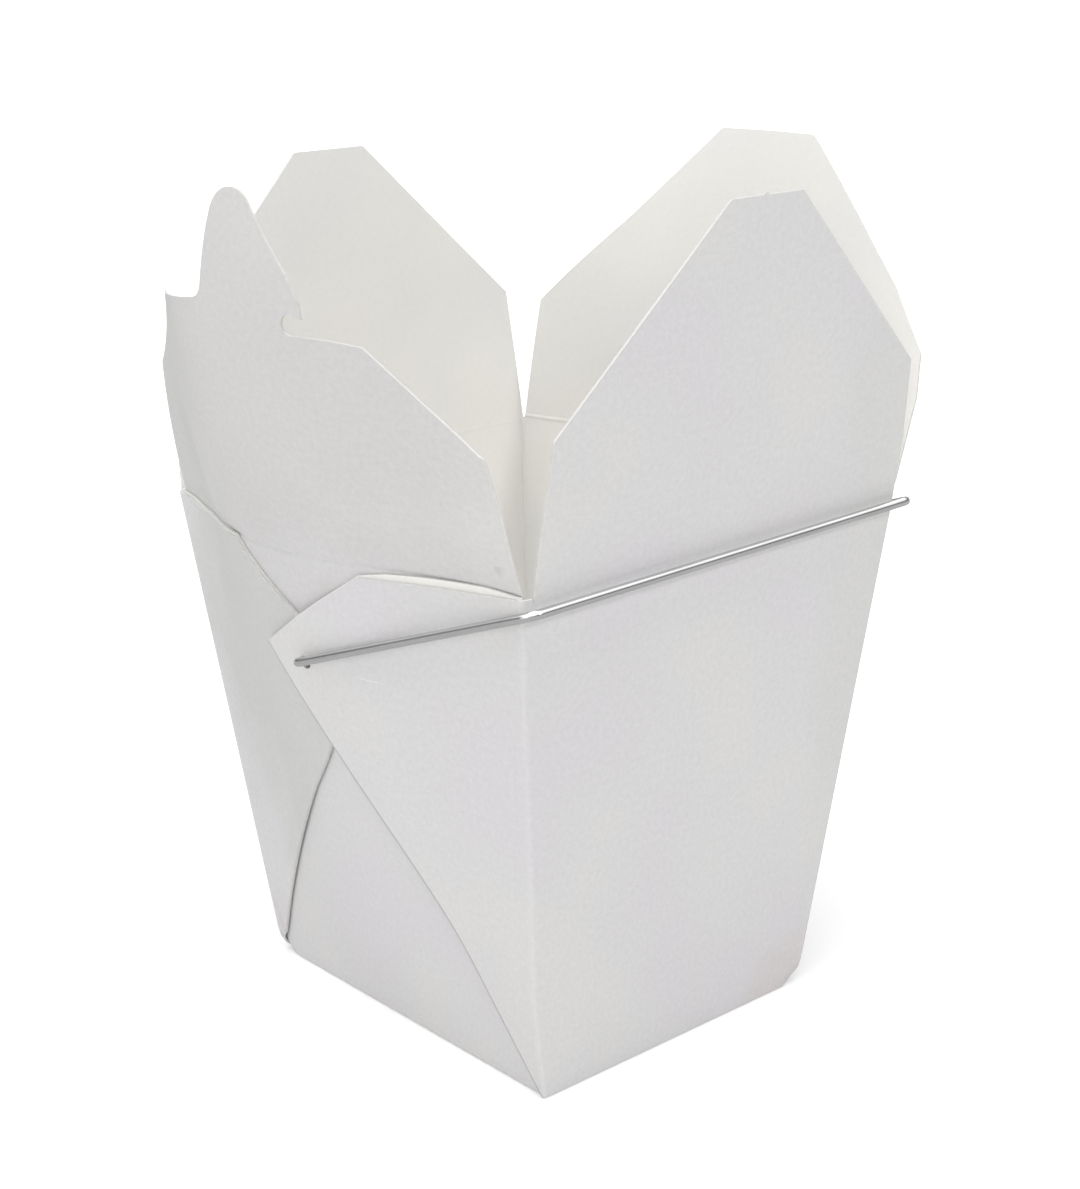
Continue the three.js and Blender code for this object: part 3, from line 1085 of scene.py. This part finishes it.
def wireCorners(side):
    y, z = bailHole["y"], bailHole["z"]
    wall = endFace(side, y, z)
    inside = wall - wire["wall"] - wire["hook"]
    arm = wall + wire["stack"] + wire["standoff"]
    return [
        Vector((side * inside, y, z - wire["hook"])),
        Vector((side * inside, y, z)),
        Vector((side * arm, y, z)),
        Vector((side * wire["spanHalf"], wire["spanY"], wire["spanZ"] + side * wire["spanTilt"])),
    ]


def bendWire():
    corners = wireCorners(-1) + wireCorners(1)[::-1]
    hook, bend = wire["hookBend"], wire["bend"]
    bends = [0, hook, hook, bend, bend, hook, hook, 0]
    bm = bmesh.new()
    drawn = bm.verts.layers.float_vector.new("drawn")
    heading = (corners[1] - corners[0]).normalized()
    facing = Vector((0, 0, 1)).rotation_difference(heading).to_matrix().to_4x4()
    bmesh.ops.create_circle(bm, cap_ends=True, radius=wire["radius"], segments=wire["sides"])
    bmesh.ops.transform(bm, matrix=Matrix.Translation(corners[0]) @ facing, verts=bm.verts)
    ring = bm.edges[:]
    along = 0

    def mark(verts):
        size = wire["radius"] * mm
        far = along * mm * wire["streakDraw"]
        for n, vert in enumerate(verts):
            angle = 2 * math.pi * n / len(verts)
            vert[drawn] = (size * math.cos(angle), size * math.sin(angle), far)

    def nextRing(edges):
        made = bmesh.ops.extrude_edge_only(bm, edges=edges)["geom"]
        newEdges = [g for g in made if isinstance(g, bmesh.types.BMEdge)]
        return newEdges, [g for g in made if isinstance(g, bmesh.types.BMVert)]

    mark(bm.verts[:])
    at = corners[0]
    for n in range(1, len(corners)):
        goal = corners[n]
        turnAngle = 0
        if bends[n]:
            leaving = (corners[n + 1] - goal).normalized()
            turnAngle = heading.angle(leaving)
            reach = bends[n] * math.tan(turnAngle / 2)
            goal = goal - heading * reach
        length = (goal - at).length
        steps = max(round(length / wire["runStep"]), 1)
        for k in range(steps):
            ring, verts = nextRing(ring)
            bmesh.ops.translate(bm, verts=verts, vec=heading * length / steps)
            along += length / steps
            mark(verts)
        at = goal
        if not turnAngle:
            continue
        axis = heading.cross(leaving).normalized()
        centre = at + axis.cross(heading) * bends[n]
        step = Matrix.Rotation(turnAngle / wire["bendSteps"], 3, axis)
        for k in range(wire["bendSteps"]):
            ring, verts = nextRing(ring)
            bmesh.ops.rotate(bm, verts=verts, cent=centre, matrix=step)
            along += bends[n] * turnAngle / wire["bendSteps"]
            mark(verts)
        at = corners[n] + leaving * reach
        heading = leaving
    bmesh.ops.holes_fill(bm, edges=ring, sides=wire["sides"])
    bmesh.ops.recalc_face_normals(bm, faces=bm.faces)
    caps = [e for e in bm.edges if e.calc_face_angle(0) > math.radians(60)]
    offset = wire["endRound"]
    bmesh.ops.bevel(bm, geom=caps, offset=offset, segments=3, profile=0.5, affect="EDGES", material=-1)
    return bm


def wirePiece():
    bm = bendWire()
    mesh = bpy.data.meshes.new("bailWire")
    bm.to_mesh(mesh)
    bm.free()
    mesh.transform(Matrix.Scale(mm, 4))
    mesh.materials.append(wireFinish())
    piece = bpy.data.objects.new("bailWire", mesh)
    bpy.context.scene.collection.objects.link(piece)
    shadeByAngle(piece, wire["smoothAngle"])
    return piece


bail = wirePiece()
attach(bail, "bail")
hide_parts("bail")
print("bail bent:", len(bail.data.polygons), "faces")

# The studio: a glowing white table, soft light from above and the side, and a small light in
# front. Seen values are for the camera alone, and mirrored ones for what shows in the bare wire.
studio = {
    "floorSize": 12,
    "floor": 0.72,
    "floorSeen": 0.93,  # the table is burnt out to white, except where the box touches it
    "floorMirrored": 0.5,
    "floorGlow": 0.2,
    "floorRoughness": 0.9,
    "floorGloss": 0.1,
    "world": 0.37,
    "worldSeen": 1.1,
    "mirrored": (0.28, 1.7),  # a dark room, and its bright ceiling
    "mirroredFrom": 0.3,
    "mirroredTo": 0.6,
}
suns = {
    "softSun": {"tilt": 50, "turn": 213, "strength": 0.6, "spread": 80},
    "sideSun": {"tilt": 80, "turn": 182, "strength": 0.5, "spread": 50},
    "topSun": {"tilt": 8, "turn": 200, "strength": 2.0, "spread": 50},
    "frontSun": {"tilt": 57, "turn": 285, "strength": 0.58, "spread": 4},
}
view = {
    "place": (-260.06, -309.33, 205.65),
    "yaw": 49.648,
    "pitch": -17.138,
    "roll": -1.553,
    "focal": 2148.78,  # in pixels of the picture
    "pictureHeight": 1189,
    "sensorHeight": 36,
    "clip": (0.01, 60),  # metres
}


def grey(value):
    return (value, value, value, 1)


def makeFloor():
    bm = bmesh.new()
    bmesh.ops.create_grid(bm, x_segments=1, y_segments=1, size=studio["floorSize"])
    mesh = bpy.data.meshes.new("floor")
    bm.to_mesh(mesh)
    bm.free()
    material = bpy.data.materials.new("lightTable")
    material.use_nodes = True
    tree = material.node_tree
    shader = tree.nodes["Principled BSDF"]
    path = addNode(tree, "ShaderNodeLightPath")
    mirrored = path.outputs["Is Glossy Ray"]
    colour = addNode(tree, "ShaderNodeMix", {"Factor": mirrored}, data_type="RGBA")
    colour.inputs["A"].default_value = grey(studio["floor"])
    colour.inputs["B"].default_value = grey(studio["floorMirrored"])
    seen = addNode(tree, "ShaderNodeMix", {"Factor": path.outputs["Is Camera Ray"]}, data_type="RGBA")
    tree.links.new(colour.outputs["Result"], seen.inputs["A"])
    seen.inputs["B"].default_value = grey(studio["floorSeen"])
    tree.links.new(seen.outputs["Result"], shader.inputs["Base Color"])
    shader.inputs["Roughness"].default_value = studio["floorRoughness"]
    shader.inputs["Specular IOR Level"].default_value = studio["floorGloss"]
    shader.inputs["Emission Color"].default_value = grey(1)
    dimmed = maths(tree, "MULTIPLY", maths(tree, "SUBTRACT", 1.0, mirrored), studio["floorGlow"])
    tree.links.new(dimmed, shader.inputs["Emission Strength"])
    mesh.materials.append(material)
    floor = bpy.data.objects.new("floor", mesh)
    bpy.context.scene.collection.objects.link(floor)


def makeSun(name, look):
    data = bpy.data.lights.new(name, "SUN")
    data.energy = look["strength"]
    data.angle = math.radians(look["spread"])
    sun = bpy.data.objects.new(name, data)
    tilt, turn = math.radians(look["tilt"]), math.radians(look["turn"])
    towards = Vector((math.sin(tilt) * math.cos(turn), math.sin(tilt) * math.sin(turn), math.cos(tilt)))
    sun.rotation_euler = (-towards).to_track_quat("-Z", "Y").to_euler()
    bpy.context.scene.collection.objects.link(sun)


def makeCamera():
    yaw, pitch, roll = (math.radians(view[key]) for key in ("yaw", "pitch", "roll"))
    ahead = Vector((math.cos(pitch) * math.cos(yaw), math.cos(pitch) * math.sin(yaw), math.sin(pitch)))
    level = ahead.cross(Vector((0, 0, 1))).normalized()
    upright = level.cross(ahead)
    right = level * math.cos(roll) + upright * math.sin(roll)
    up = upright * math.cos(roll) - level * math.sin(roll)
    data = bpy.data.cameras.new("camera")
    data.sensor_fit = "VERTICAL"
    data.sensor_height = view["sensorHeight"]
    data.lens = view["focal"] * view["sensorHeight"] / view["pictureHeight"]
    data.clip_start, data.clip_end = view["clip"]
    camera = bpy.data.objects.new("camera", data)
    turned = Matrix((right, up, -ahead)).transposed().to_4x4()
    camera.matrix_world = Matrix.Translation(Vector(view["place"]) * mm) @ turned
    bpy.context.scene.collection.objects.link(camera)
    bpy.context.scene.camera = camera


def makeWorld():
    world = bpy.data.worlds.new("studioWorld")
    world.use_nodes = True
    tree = world.node_tree
    towards = addNode(tree, "ShaderNodeTexCoord").outputs["Generated"]
    height = addNode(tree, "ShaderNodeSeparateXYZ", {0: towards}).outputs["Z"]
    dark, bright = studio["mirrored"]
    room = addNode(
        tree, "ShaderNodeMapRange",
        {
            "Value": height,
            "From Min": studio["mirroredFrom"],
            "From Max": studio["mirroredTo"],
            "To Min": dark,
            "To Max": bright,
        },
    ).outputs[0]
    path = addNode(tree, "ShaderNodeLightPath")
    light = addNode(tree, "ShaderNodeMix", {"Factor": path.outputs["Is Glossy Ray"], "B": room})
    light.inputs["A"].default_value = studio["world"]
    seen = addNode(tree, "ShaderNodeMix", {"Factor": path.outputs["Is Camera Ray"]})
    tree.links.new(light.outputs["Result"], seen.inputs["A"])
    seen.inputs["B"].default_value = studio["worldSeen"]
    tree.links.new(seen.outputs["Result"], tree.nodes["Background"].inputs["Strength"])
    tree.nodes["Background"].inputs["Color"].default_value = grey(1)
    bpy.context.scene.world = world


makeFloor()
for name, look in suns.items():
    makeSun(name, look)
makeWorld()
makeCamera()
bpy.context.scene.view_settings.view_transform = "Standard"
print("studio set")
